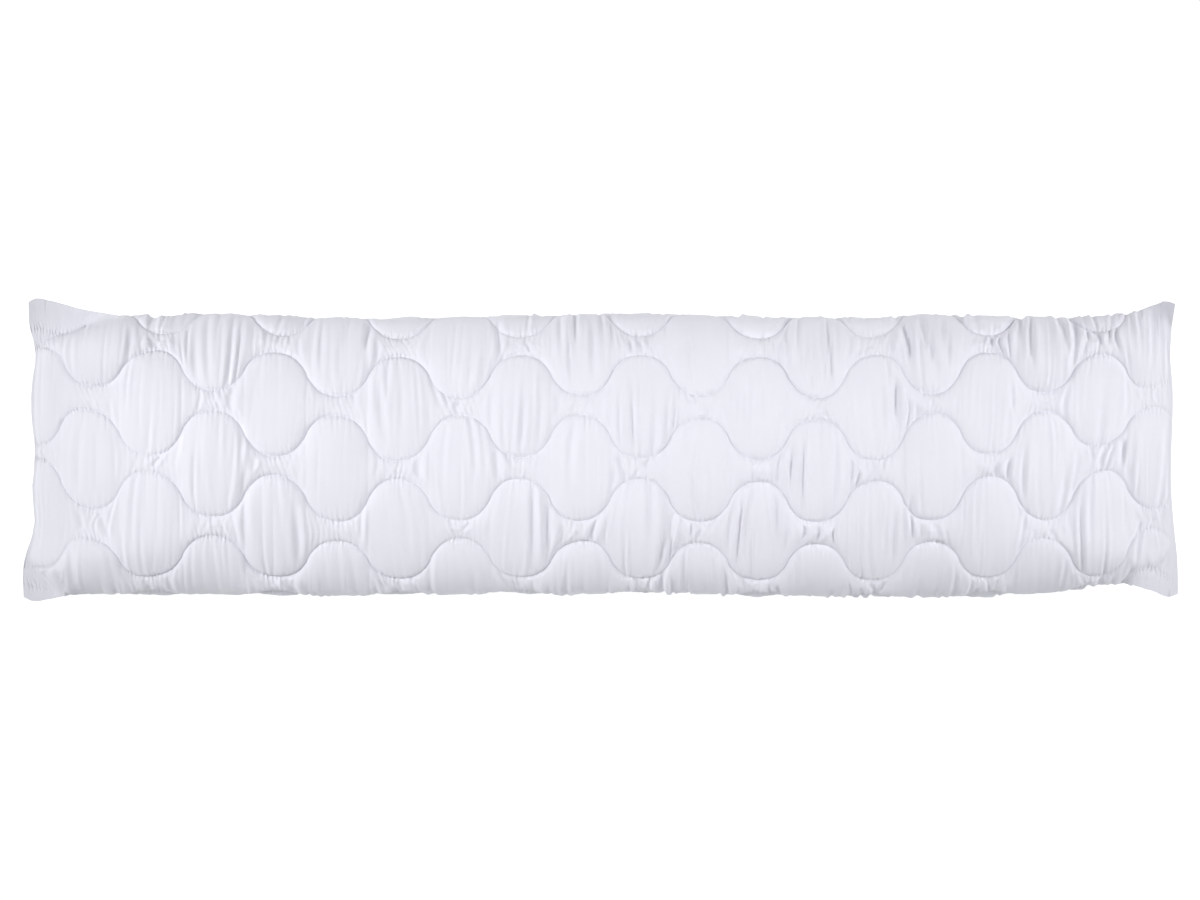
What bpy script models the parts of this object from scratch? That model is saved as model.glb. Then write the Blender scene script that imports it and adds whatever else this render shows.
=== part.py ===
"""Body pillow: a long filled pillow in a wave-quilted cover, lying on its back.

Run with: blender --background --python part.py

The cover is one quilted sheet. It is folded along one long side (+Y), sewn along the other (-Y) and
at both ends, and filled. X runs along the pillow, Y across it and Z up. The origin is on the surface
that it lies on, under the middle of its bounding box.

The solid is built from closed rings of points, one ring at each station along the pillow. Ten wavy
stitch rows run lengthwise round the cover, and a ring's points are placed between them, so the mesh
follows the quilting.
"""

import math

import bmesh
import bpy
from mathutils import Vector

# Overall sizes, in metres.
LENGTH = 1.430  # from ear to ear
HALF_LENGTH = LENGTH / 2
RIM_HEIGHT = 0.046  # the widest line of the pillow, above the surface that it lies on
END_RIM_HEIGHT = 0.056  # the same line at the end seams
CROWN = 0.062  # how far the face rises above the rim
BELLY = 0.050  # how far the underside would hang below the rim, were there no surface
FACE_SQUARENESS = 0.98  # power of the section's height: 1 is an ellipse, and less is flatter
END_SQUARENESS = 1.25  # the same at the end seams, where the ears lie thin
BELLY_SQUARENESS = 0.75
END_TAPER = 0.300  # length over which the filling thins out towards the middle of an end seam
END_BLUNTNESS = 1.20  # power of the taper: less is blunter
SIDE_TAPER = 0.065  # the same beside the empty ears, where it stops more suddenly
SIDE_BLUNTNESS = 0.85
SIDES = (0.45, 0.85)  # from here to there, as shares of the half width, the one turns into the other
END_LIP = 0.006  # empty cloth next to an end seam
END_SEAM_THICKNESS = 0.004

# The ears are empty corners. The filling stays clear of a corner by `reach` along the side, narrowing
# to nothing at a share of the half width. The tip stands up by `rise` beyond a fold that cuts the
# corner off. Lengths are in millimetres. End and side are -1 or 1, for the left or right end and for
# the long seam or the fold.
EAR_COLUMNS = ("end", "side", "reach", "share", "rise", "fold_reach", "fold_share")
EARS = (
    (-1, 1, 120, 0.66, 12, 110, 0.78),
    (-1, -1, 46, 0.70, 5, 44, 0.78),
    (1, 1, 46, 0.68, 26, 46, 0.85),
    (1, -1, 46, 0.62, 6, 46, 0.80),
)
EAR_EDGE = 1.1  # power of the edge of the empty corner: 1 is straight
EAR_FOLD_SOFTNESS = 0.09

# Outline seen from above, in millimetres from the middle: where the fold and the long seam stand.
OUTLINE_COLUMNS = ("station", "fold", "seam")
OUTLINE_MM = (
    (-715, 182, -181),
    (-703, 186, -186),
    (-680, 184, -184),
    (-640, 174, -176),
    (-560, 164, -178),
    (-490, 166, -175),
    (-320, 161, -176),
    (-125, 164, -174),
    (75, 166, -175),
    (270, 160, -178),
    (400, 165, -180),
    (570, 161, -172),
    (660, 170, -167),
    (682, 178, -174),
    (703, 183, -181),
    (715, 179, -177),
)

# How far each end seam is drawn in, in millimetres, from the long seam (-1) to the fold (+1).
DRAWN_IN_COLUMNS = ("share", "left", "right")
DRAWN_IN_MM = (
    (-1.00, 3, 1),
    (-0.80, 2, 1),
    (-0.50, 16, 6),
    (-0.25, 13, 9),
    (-0.08, 17, 9),
    (0.25, 12, 7),
    (0.40, 12, 7),
    (0.67, 17, 10),
    (0.85, 10, 8),
    (1.00, 10, 7),
)
DRAWN_IN_REACH = 0.060  # length over which a drawn-in end eases out

# Quilting: rows of waves round the cover, each in step with the next but one.
ROWS_AROUND = 10
ROWS_ON_FACE = ROWS_AROUND / 2
WAVE_HEIGHT = 0.0260  # from a row's middle line to its crest
WAVE_SQUARENESS = 0.10  # share of the third harmonic, which flattens the crests
FIRST_CREST = -0.628  # station of the first crest of an even row
HALF_WAVE_LEFT = 0.0778  # half a wavelength at the left end
HALF_WAVE_LOSS = 0.00028  # each half wave is shorter than the last by twice this
COVER_TURN = 0.0185  # how far the cover has crept round the filling, towards the seam, at mid length
COVER_TURN_END = 0.0045
EDGE_ROWS = (2, 7)  # the rows nearest to the fold and to the long seam
EDGE_ROW_SHARES = (0.93, -0.93)  # where the fullness beside each is judged, as a share of the half width
EDGE_ROW_WAKES = (0.35, 0.95)  # fullness over which those rows take up their waves
CHANNEL_DEPTH = 0.0045
CHANNEL_WIDTH = 0.007  # distance over which a channel's side rises
CELL_RISE = 0.004  # how far a wide cell bulges between its stitch rows
PRESSED_HEIGHT = 0.012  # below this height the quilting is pressed flatter by the surface
FLAT_HEIGHT = 0.0016  # and below this height the cover lies on it

# Uneven filling: gentle swells over the face and sides.
SWELL_COLUMNS = ("height", "wave_along", "wave_around", "offset")
SWELLS = (
    (0.0012, 0.310, 3.1, 0.4),
    (0.0010, 0.174, -4.3, 2.1),
    (0.0007, 0.093, 2.2, 3.7),
)

# Mesh density.
STATIONS_PER_HALF_WAVE = 5
END_STATIONS = (0.0, 0.003, 0.008, 0.016, 0.028, 0.042)  # metres from an end seam
LEAST_STEP = 0.006  # a station this near to the last of those is left out
ROW_SHARES = (0.0, 0.15, 0.38, 0.62, 0.85)  # points between one stitch row and the next
PRESSED_ROWS = (4, 5)  # rows that lie on the surface
PRESSED_SHARES = (0.0, 0.5)
SECTION_SAMPLES = 180

COVER_COLOUR = (0.80, 0.81, 0.87, 1.0)
COVER_ROUGHNESS = 0.85


def smooth_between(table, column, place):
    """A column's value at a place, on cubic pieces through the rows. The first column holds the places."""
    places = [row[0] for row in table]
    values = [row[column] for row in table]
    place = min(max(place, places[0]), places[-1])
    piece = max(k for k in range(len(places) - 1) if places[k] <= place)

    def slope(k):
        before, after = max(k - 1, 0), min(k + 1, len(places) - 1)
        return (values[after] - values[before]) / (places[after] - places[before])

    span = places[piece + 1] - places[piece]
    t = (place - places[piece]) / span
    return (
        values[piece] * (1 + 2 * t) * (1 - t) ** 2
        + values[piece + 1] * t * t * (3 - 2 * t)
        + span * t * (1 - t) * (slope(piece) * (1 - t) - slope(piece + 1) * t)
    )


def smoothstep(value, low, high):
    t = min(max((value - low) / (high - low), 0.0), 1.0)
    return t * t * (3 - 2 * t)


def ears_near(station, across):
    """The ears of the quarter of the pillow that a place is in."""
    for values in EARS:
        ear = dict(zip(EAR_COLUMNS, values))
        if ear["end"] * station > 0 and ear["side"] * across > 0:
            yield ear


def fullness(station, across):
    """Share of its full thickness that the pillow has, from 0 at an end seam or in an ear to 1.

    across is -1 at the long seam and 1 at the fold.
    """
    outwards = abs(across)
    from_end = HALF_LENGTH - abs(station) - END_LIP
    for ear in ears_near(station, across):
        into_ear = max(outwards - ear["share"], 0.0) / (1 - ear["share"])
        from_end -= ear["reach"] / 1000 * into_ear**EAR_EDGE
    beside = smoothstep(outwards, *SIDES)
    taper = END_TAPER + (SIDE_TAPER - END_TAPER) * beside
    bluntness = END_BLUNTNESS + (SIDE_BLUNTNESS - END_BLUNTNESS) * beside
    filled = min(max(from_end / taper, 0.0), 1.0)
    return (1 - (1 - filled) ** 2) ** bluntness


def ear_rise(station, across):
    """How far the tip of an ear stands up at a place."""
    rise = 0.0
    for ear in ears_near(station, across):
        in_from_side = (1 - abs(across)) / (1 - ear["fold_share"])
        beyond = 1 - (HALF_LENGTH - abs(station)) / (ear["fold_reach"] / 1000) - in_from_side
        if beyond > 0:
            rise += ear["rise"] / 1000 * beyond**2 / (beyond + EAR_FOLD_SOFTNESS)
    return rise


class Section:
    """The closed curve of the pillow at a station: its face from seam to fold, then its underside."""

    def __init__(self, station):
        self.station = station
        from_middle = station / HALF_LENGTH
        self.turn = COVER_TURN_END + (COVER_TURN - COVER_TURN_END) * (1 - from_middle**2)
        self.fold = smooth_between(OUTLINE_MM, OUTLINE_COLUMNS.index("fold"), station * 1000) / 1000
        self.seam = smooth_between(OUTLINE_MM, OUTLINE_COLUMNS.index("seam"), station * 1000) / 1000
        self.face = self.curve(-math.pi / 2, CROWN, (END_SQUARENESS, FACE_SQUARENESS))
        self.underside = self.curve(math.pi / 2, -BELLY, (BELLY_SQUARENESS, BELLY_SQUARENESS))
        self.face_length = self.face[1][-1]

    def curve(self, start, full_rise, powers):
        """Half of the section, as points and distances along it. It stops at the surface, Z = 0.

        The powers are those of an empty and of a full section.
        """
        middle, half = (self.fold + self.seam) / 2, (self.fold - self.seam) / 2
        points = []
        for k in range(SECTION_SAMPLES + 1):
            angle = start + math.pi * k / SECTION_SAMPLES
            full = fullness(self.station, math.sin(angle))
            rim = END_RIM_HEIGHT + (RIM_HEIGHT - END_RIM_HEIGHT) * full
            rise = full_rise * full + math.copysign(END_SEAM_THICKNESS / 2, full_rise)
            power = powers[0] + (powers[1] - powers[0]) * full
            height = rim + rise * abs(math.cos(angle)) ** power
            points.append(Vector((middle + half * math.sin(angle), max(height, 0.0))))
        distances = [0.0]
        for before, after in zip(points, points[1:]):
            distances.append(distances[-1] + (after - before).length)
        return points, distances

    def point(self, place):
        """(point, outward normal) at a place, in row spacings from the middle of the face to the fold."""
        # 0 and 2 at the seam, 1 at the fold
        share = (place / ROWS_ON_FACE + 0.5 - self.turn / self.face_length) % 2
        points, distances = self.face if share <= 1 else self.underside
        wanted = (share if share <= 1 else share - 1) * distances[-1]
        k = min(max(sum(distance <= wanted for distance in distances) - 1, 0), SECTION_SAMPLES - 1)
        step = points[k + 1] - points[k]
        t = (wanted - distances[k]) / (distances[k + 1] - distances[k])
        along = step.normalized()
        return points[k] + step * t, Vector((-along.y, along.x))

    def share_across(self, y):
        """-1 at the long seam and +1 at the fold."""
        return (2 * y - self.fold - self.seam) / (self.fold - self.seam)

    def row(self, number, wave):
        """Where a stitch row runs, in row spacings from the middle of the face, at a count of half waves.

        The two rows that run along the fold and the seam straighten onto them where the pillow thins out.
        """
        phase = math.pi * (wave + number)
        rise = (math.cos(phase) - WAVE_SQUARENESS * math.cos(3 * phase)) / (1 - WAVE_SQUARENESS)
        place = number + 0.5 + rise * WAVE_HEIGHT * ROWS_ON_FACE / self.face_length
        if number in EDGE_ROWS:
            edge = number + 0.5 + self.turn * ROWS_ON_FACE / self.face_length
            full = fullness(self.station, EDGE_ROW_SHARES[EDGE_ROWS.index(number)])
            place = edge + (place - edge) * smoothstep(full, *EDGE_ROW_WAKES)
        return place


def half_waves(station):
    """How many half waves of quilting lie between the first crest and a station."""
    pitch, loss = HALF_WAVE_LEFT, HALF_WAVE_LOSS
    return (pitch - math.sqrt(pitch**2 - 4 * loss * (station - FIRST_CREST))) / (2 * loss)


def station_of(wave):
    """The station at a count of half waves from the first crest."""
    return FIRST_CREST + HALF_WAVE_LEFT * wave - HALF_WAVE_LOSS * wave**2


def swell(station, place):
    """How far the uneven filling lifts the cover."""
    total = 0.0
    for height, wave_along, wave_around, offset in SWELLS:
        total += height * math.sin(math.tau * (station / wave_along + place / wave_around) + offset)
    return total


def ring(station):
    """The ring of points round the cover at a station, from each stitch row to the next."""
    section = Section(station)
    wave = half_waves(station)
    side = DRAWN_IN_COLUMNS.index("left" if station < 0 else "right")
    easing = max(1 - (HALF_LENGTH - abs(station)) / DRAWN_IN_REACH, 0.0) ** 2
    points = []
    for number in range(ROWS_AROUND):
        here, there = section.row(number, wave), section.row(number + 1, wave)
        gap = (there - here) * section.face_length / ROWS_ON_FACE
        for share in PRESSED_SHARES if number in PRESSED_ROWS else ROW_SHARES:
            place = here + (there - here) * share
            flat, normal = section.point(place)
            across = section.share_across(flat.x)
            loft = CELL_RISE * gap / (gap + 2 * WAVE_HEIGHT) * 4 * share * (1 - share)
            loft -= CHANNEL_DEPTH * math.exp(-min(share, 1 - share) * gap / CHANNEL_WIDTH)
            loft += swell(station, place)
            loft *= fullness(station, across) * smoothstep(flat.y, 0.0, PRESSED_HEIGHT)
            lofted = flat + normal * loft
            drawn_in = smooth_between(DRAWN_IN_MM, side, across) / 1000 * easing
            x = station - math.copysign(drawn_in, station)
            height = lofted.y + ear_rise(station, across)
            if height < FLAT_HEIGHT:
                height = 0.0
            points.append(Vector((x, lofted.x, height)))
    return points


def stations():
    """Stations along the pillow: close together at the ends, then in step with the quilting."""
    left = [-HALF_LENGTH + gap for gap in END_STATIONS]
    right = [-station for station in reversed(left)]
    steps = range(
        math.ceil(half_waves(left[-1] + LEAST_STEP) * STATIONS_PER_HALF_WAVE),
        math.floor(half_waves(right[0] - LEAST_STEP) * STATIONS_PER_HALF_WAVE) + 1,
    )
    return left + [station_of(step / STATIONS_PER_HALF_WAVE) for step in steps] + right


def close_end(mesh, loop):
    """Closes an end seam's ring with triangles between its face and its underside."""
    across = [vert.co.y for vert in loop]
    start, stop = across.index(min(across)), across.index(max(across))
    count = len(loop)
    upper = [loop[(start + k) % count] for k in range((stop - start) % count + 1)]
    lower = [loop[(start - k) % count] for k in range((start - stop) % count + 1)]
    i, j = 0, 0
    while i < len(upper) - 1 or j < len(lower) - 1:
        upper_left, lower_left = i < len(upper) - 1, j < len(lower) - 1
        upper_is_next = not lower_left or (upper_left and upper[i + 1].co.y < lower[j + 1].co.y)
        corner = upper[i + 1] if upper_is_next else lower[j + 1]
        if corner is not lower[j] and corner is not upper[i] and upper[i] is not lower[j]:
            mesh.faces.new((upper[i], corner, lower[j]))
        i, j = (i + 1, j) if upper_is_next else (i, j + 1)


def pillow():
    mesh = bmesh.new()
    rings = [[mesh.verts.new(point) for point in ring(station)] for station in stations()]
    for before, after in zip(rings, rings[1:]):
        for k in range(len(before)):
            following = (k + 1) % len(before)
            mesh.faces.new((before[k], before[following], after[following], after[k]))
    close_end(mesh, rings[0])
    close_end(mesh, rings[-1])
    bmesh.ops.triangulate(mesh, faces=mesh.faces, quad_method="SHORT_EDGE")
    bmesh.ops.recalc_face_normals(mesh, faces=mesh.faces)
    for face in mesh.faces:
        face.smooth = True
    return mesh


def stand_on_origin(mesh):
    """Moves the mesh so that its bounding box stands on Z = 0, with its middle over the origin."""
    low = Vector([min(vert.co[axis] for vert in mesh.verts) for axis in range(3)])
    high = Vector([max(vert.co[axis] for vert in mesh.verts) for axis in range(3)])
    middle = (low + high) / 2
    bmesh.ops.translate(mesh, vec=(-middle.x, -middle.y, -low.z), verts=mesh.verts)


def cover_material():
    material = bpy.data.materials.new("cover")
    material.use_nodes = True
    shader = material.node_tree.nodes["Principled BSDF"]
    shader.inputs["Base Color"].default_value = COVER_COLOUR
    shader.inputs["Roughness"].default_value = COVER_ROUGHNESS
    shader.inputs["Metallic"].default_value = 0.0
    return material


def main():
    for old in list(bpy.data.objects):
        bpy.data.objects.remove(old)
    mesh = pillow()
    stand_on_origin(mesh)
    data = bpy.data.meshes.new("pillow")
    mesh.to_mesh(data)
    mesh.free()
    data.materials.append(cover_material())
    bpy.context.scene.collection.objects.link(bpy.data.objects.new("pillow", data))


main()
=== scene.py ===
import math
import time

import bpy
import numpy as np
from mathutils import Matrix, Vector


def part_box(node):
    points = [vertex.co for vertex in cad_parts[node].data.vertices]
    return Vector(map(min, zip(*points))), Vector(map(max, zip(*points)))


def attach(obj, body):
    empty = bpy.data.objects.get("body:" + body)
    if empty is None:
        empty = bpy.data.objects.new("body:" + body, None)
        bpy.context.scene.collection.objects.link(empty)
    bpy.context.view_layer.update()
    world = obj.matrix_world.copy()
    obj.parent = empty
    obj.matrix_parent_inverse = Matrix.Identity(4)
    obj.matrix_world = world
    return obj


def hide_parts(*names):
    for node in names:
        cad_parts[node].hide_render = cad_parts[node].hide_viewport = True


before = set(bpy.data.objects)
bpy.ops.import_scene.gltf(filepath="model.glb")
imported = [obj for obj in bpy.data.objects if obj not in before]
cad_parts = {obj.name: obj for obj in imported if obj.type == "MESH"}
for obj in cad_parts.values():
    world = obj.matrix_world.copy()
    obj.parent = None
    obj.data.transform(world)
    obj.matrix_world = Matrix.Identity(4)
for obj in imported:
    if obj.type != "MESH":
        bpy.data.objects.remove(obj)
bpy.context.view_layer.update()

startTime = time.time()


def report(stage):
    print(f"[{time.time() - startTime:6.1f} s] {stage}", flush=True)


def addObject(name, data):
    made = bpy.data.objects.new(name, data)
    bpy.context.scene.collection.objects.link(made)
    return made


# the CAD solid gives the overall size
low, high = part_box("pillow")
halfLength = (high.x - low.x) / 2

cover = {
    "rimHeight": 0.046,        # widest line, above the floor
    "endRimHeight": 0.056,
    "crown": 0.062,            # face above the rim
    "belly": 0.050,            # underside below the rim, before the floor presses it flat
    "faceSquareness": 0.98,
    "endSquareness": 1.25,     # the ears lie thin and flat
    "bellySquareness": 0.75,
    "taper": 0.300,            # the filling thins out over this much of each end
    "taperAtSides": 0.065,     # more suddenly beside the ears
    "taperPower": 1.2,
    "taperPowerAtSides": 0.85,
    "sides": (0.45, 0.85),     # share of the way from the middle to a side
    "lip": 0.006,              # empty cloth next to an end seam
    "seamThickness": 0.0034,
    "rowsAround": 10,
    "rowsOnFace": 5,
    "waveHeight": 0.0260,
    "waveRoundness": 0.38,     # share of a round bulb, the rest is a wave with straight flanks
    "bulbPower": 0.6,
    "waveSquareness": 1.2,
    "waveWander": 0.0010,      # the stitching isn't quite even
    "wanderPitch": 0.045,
    "wanderSeed": 40,
    "firstCrest": -0.628,
    "halfWaveLeft": 0.0778,
    "halfWaveLoss": 0.00028,
    "turnMiddle": 0.0185,      # the cover has crept round the filling
    "turnEnd": 0.0045,
    "stations": 965,
    "segments": (16, 15, 11, 7, 2, 2, 7, 12, 15, 16),   # between one stitch row and the next
    "crowding": (0.3, 3.2),    # how closely the mesh lines stand beside the stitching, least and most
    "crowdingStep": 0.012,
}

# the rows are irregular near the ends
# late is in half waves, height is a share, and shift is towards the fold
endRowColumns = ("row", "late", "fadesOver", "height", "shift")
leftRows = (
    (0, 0.08, 1, 1.00, 0.000),
    (1, 0.25, 1, 0.75, 0.000),
    (2, 0.42, 5, 0.90, -0.009),
    (8, 0.28, 1, 0.90, -0.006),
    (9, 0.08, 1, 1.00, 0.007),
)
rightRows = (
    (0, 0, 1, 0.82, -0.001),
    (1, 0, 1, 0.85, -0.005),
    (7, 1, 1, 1.00, 0.008),
    (8, 0, 1, 1.00, -0.015),
    (9, 0, 1, 1.00, -0.007),
)
leftRowsFade = (1.6, 0.0)      # half waves over which height and shift fade out
rightRowsFade = (15.4, 17.0)
lateAtRight = (16.5, 17.5)

# where the folded side and the sewn side stand, in mm from the middle
outlineColumns = ("station", "fold", "seam")
outline = (
    (-715, 182, -181),
    (-703, 186, -186),
    (-680, 184, -184),
    (-640, 174, -176),
    (-560, 164, -178),
    (-490, 166, -175),
    (-320, 161, -176),
    (-125, 164, -174),
    (75, 166, -175),
    (270, 160, -178),
    (400, 165, -180),
    (570, 161, -172),
    (660, 170, -167),
    (682, 178, -174),
    (703, 183, -181),
    (715, 179, -177),
)

# how far each end seam is drawn in, in mm, from the sewn side (-1) to the fold (+1)
drawnInColumns = ("share", "left", "right")
drawnIn = (
    (-1.00, 3, 1),
    (-0.80, 2, 1),
    (-0.50, 16, 6),
    (-0.25, 13, 9),
    (-0.08, 17, 9),
    (0.25, 12, 7),
    (0.40, 12, 7),
    (0.67, 17, 10),
    (0.85, 10, 8),
    (1.00, 10, 7),
)
drawnInReach = 0.060

# the empty ears: each reaches this far along its side, in mm
# and in from the side to a share of the half width
# the tip stands up by rise, in mm, beyond a fold that cuts the corner off
earColumns = ("end", "side", "reach", "share", "rise", "foldReach", "foldShare")
ears = (
    (-1, 1, 120, 0.66, 12, 110, 0.78),
    (-1, -1, 46, 0.70, 5, 44, 0.78),
    (1, 1, 46, 0.68, 26, 46, 0.85),
    (1, -1, 46, 0.62, 6, 46, 0.80),
)
earEdge = 1.1              # the edge of an ear's filling bends a little
earFoldSoftness = 0.09


def fromTable(table, columns, name, places):
    # smooth curve through one column, with the table's first column as the place
    x = np.array([row[0] for row in table], float)
    y = np.array([row[columns.index(name)] for row in table], float)
    slope = np.gradient(y, x)
    p = np.clip(places, x[0], x[-1])
    k = np.clip(np.searchsorted(x, p, side="right") - 1, 0, len(x) - 2)
    span = x[k + 1] - x[k]
    t = (p - x[k]) / span
    return (
        y[k] * (1 + 2 * t) * (1 - t) ** 2
        + y[k + 1] * t * t * (3 - 2 * t)
        + span * t * (1 - t) * (slope[k] * (1 - t) - slope[k + 1] * t)
    )


def smoothStep(value, start, end):
    t = np.clip((value - start) / (end - start), 0, 1)
    return t * t * (3 - 2 * t)


noiseGain = 1.3     # smoothing between the grid's values takes this much off their spread


def looseNoise(x, y, pitchX, pitchY, seed, around=0):
    # smooth unevenness with a spread of 1; around is the length after which y repeats
    rng = np.random.default_rng(seed)
    countX = int(2 * halfLength / pitchX) + 4
    countY = max(int(round(around / pitchY)), 1) if around else int(np.ptp(y) / pitchY) + 3
    values = rng.normal(size=(countX, countY))
    u = (x + halfLength) / pitchX + 1
    v = y / around * countY if around else (y - np.min(y)) / pitchY
    i = np.clip(np.floor(u).astype(int), 0, countX - 2)
    j = np.floor(v).astype(int)
    s = smoothStep(u - i, 0, 1)
    t = smoothStep(v - j, 0, 1)
    first, second = j % countY, (j + 1) % countY
    low = values[i, first] * (1 - s) + values[i + 1, first] * s
    high = values[i, second] * (1 - s) + values[i + 1, second] * s
    return (low * (1 - t) + high * t) * noiseGain


def eachEar(stations, across):
    # every ear's table row, and where its quarter of the pillow is
    for row in ears:
        ear = dict(zip(earColumns, row))
        yield ear, (stations * ear["end"] > 0) & (across * ear["side"] > 0)


def fullness(stations, across):
    # across is -1 at the sewn side and 1 at the fold
    stations, across = np.broadcast_arrays(stations, across)
    outwards = np.abs(across)
    fromEnd = halfLength - np.abs(stations) - cover["lip"]
    for ear, here in eachEar(stations, across):
        intoEar = np.clip((outwards - ear["share"]) / (1 - ear["share"]), 0, 1)
        fromEnd = fromEnd - here * ear["reach"] / 1000 * intoEar ** earEdge
    beside = smoothStep(outwards, *cover["sides"])
    taper = cover["taper"] + (cover["taperAtSides"] - cover["taper"]) * beside
    power = cover["taperPower"] + (cover["taperPowerAtSides"] - cover["taperPower"]) * beside
    return (1 - (1 - np.clip(fromEnd / taper, 0, 1)) ** 2) ** power


def earRise(stations, across):
    # height of the ears' folded tips
    rise = np.zeros_like(stations)
    fromEnd = halfLength - np.abs(stations)
    for ear, here in eachEar(stations, across):
        inFromSide = (1 - np.abs(across)) / (1 - ear["foldShare"])
        beyond = 1 - fromEnd / (ear["foldReach"] / 1000) - inFromSide
        beyond = np.clip(beyond, 0, 1)
        rise += here * ear["rise"] / 1000 * beyond ** 2 / (beyond + earFoldSoftness)
    return rise


def halfWaves(stations):
    pitch, loss = cover["halfWaveLeft"], cover["halfWaveLoss"]
    return (pitch - np.sqrt(pitch ** 2 - 4 * loss * (stations - cover["firstCrest"]))) / (2 * loss)


def sectionCurves(stations):
    # closed curve of the bare pillow at each station: sewn side, face, fold, underside, sewn side
    samples = 200     # on each side
    angle = np.linspace(-math.pi / 2, 1.5 * math.pi, 2 * samples + 1)
    full = fullness(stations[:, None], np.sin(angle)[None, :])
    fold = fromTable(outline, outlineColumns, "fold", stations * 1000)[:, None] / 1000
    seam = fromTable(outline, outlineColumns, "seam", stations * 1000)[:, None] / 1000
    rim = cover["endRimHeight"] + (cover["rimHeight"] - cover["endRimHeight"]) * full
    squareness = cover["endSquareness"] + (cover["faceSquareness"] - cover["endSquareness"]) * full
    cosine = np.abs(np.cos(angle))[None, :]
    crown = cover["seamThickness"] / 2 + cover["crown"] * full
    belly = cover["seamThickness"] / 2 + cover["belly"] * full
    face = rim + crown * cosine ** squareness
    under = rim - belly * cosine ** cover["bellySquareness"]
    z = np.where(np.arange(2 * samples + 1)[None, :] <= samples, face, under)
    soft = 0.004      # the underside bends down to the floor over this height
    z = np.where(z > soft, z, np.where(z < -soft, 0, (z + soft) ** 2 / (4 * soft)))
    y = (fold + seam) / 2 + (fold - seam) / 2 * np.sin(angle)[None, :]
    step = np.hypot(np.diff(y, axis=1), np.diff(z, axis=1))
    along = np.concatenate([np.zeros((len(stations), 1)), np.cumsum(step, axis=1)], axis=1)
    return {
        "y": y, "z": z, "along": along, "faceLength": along[:, samples],
        "fold": fold[:, 0], "seam": seam[:, 0],
    }


def waveRise(phase):
    wave = np.cos(phase)
    fromCrest = np.arccos(np.abs(wave)) / (math.pi / 2)
    bulb = np.sign(wave) * (1 - fromCrest ** 2) ** cover["bulbPower"]
    straight = np.tanh(cover["waveSquareness"] * wave) / math.tanh(cover["waveSquareness"])
    return cover["waveRoundness"] * bulb + (1 - cover["waveRoundness"]) * straight


def endRow(row, table):
    for values in table:
        if values[0] == row:
            return dict(zip(endRowColumns, values))
    return {"late": 0, "fadesOver": 1, "height": 1, "shift": 0}


def rowPlaces(row, stations, faceLength):
    # place of a stitch row, in row spacings from the middle of the face
    waves = halfWaves(stations)
    left, right = endRow(row, leftRows), endRow(row, rightRows)
    atLeft = smoothStep(-waves, -leftRowsFade[0], -leftRowsFade[1])
    atRight = smoothStep(waves, *rightRowsFade)
    lag = left["late"] * np.clip((left["fadesOver"] - 1 - waves) / left["fadesOver"], 0, 1)
    lag = lag + right["late"] * smoothStep(waves, *lateAtRight)
    rise = waveRise(math.pi * (np.maximum(waves - lag, -1) + row)) * cover["waveHeight"]
    rise *= 1 + (left["height"] - 1) * atLeft + (right["height"] - 1) * atRight
    rise += left["shift"] * atLeft + right["shift"] * atRight
    wander = looseNoise(stations, 0 * stations, cover["wanderPitch"], 1, cover["wanderSeed"] + row)
    rise += wander * cover["waveWander"]
    return row + 0.5 + rise * cover["rowsOnFace"] / faceLength


emptyAt = 0.93      # share of the half width where the thin edge of an ear is judged
emptyRange = (0.2, 0.6)     # fullness over which the mesh follows that edge less and less
edgeNeighbours = 3


def followEdge(place, offset, full):
    # where the cover is empty, moves the nearest mesh line onto the thin edge
    # and its neighbours a little
    nearest = np.abs(offset).argmin(axis=1)
    stations = np.arange(len(place))
    move = -offset[stations, nearest] * cover["rowsOnFace"] * (1 - smoothStep(full, *emptyRange))
    moved = place.copy()
    for k in range(1 - edgeNeighbours, edgeNeighbours):
        moved[stations, (nearest + k) % place.shape[1]] += move * (1 - abs(k) / edgeNeighbours)
    return moved


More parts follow.
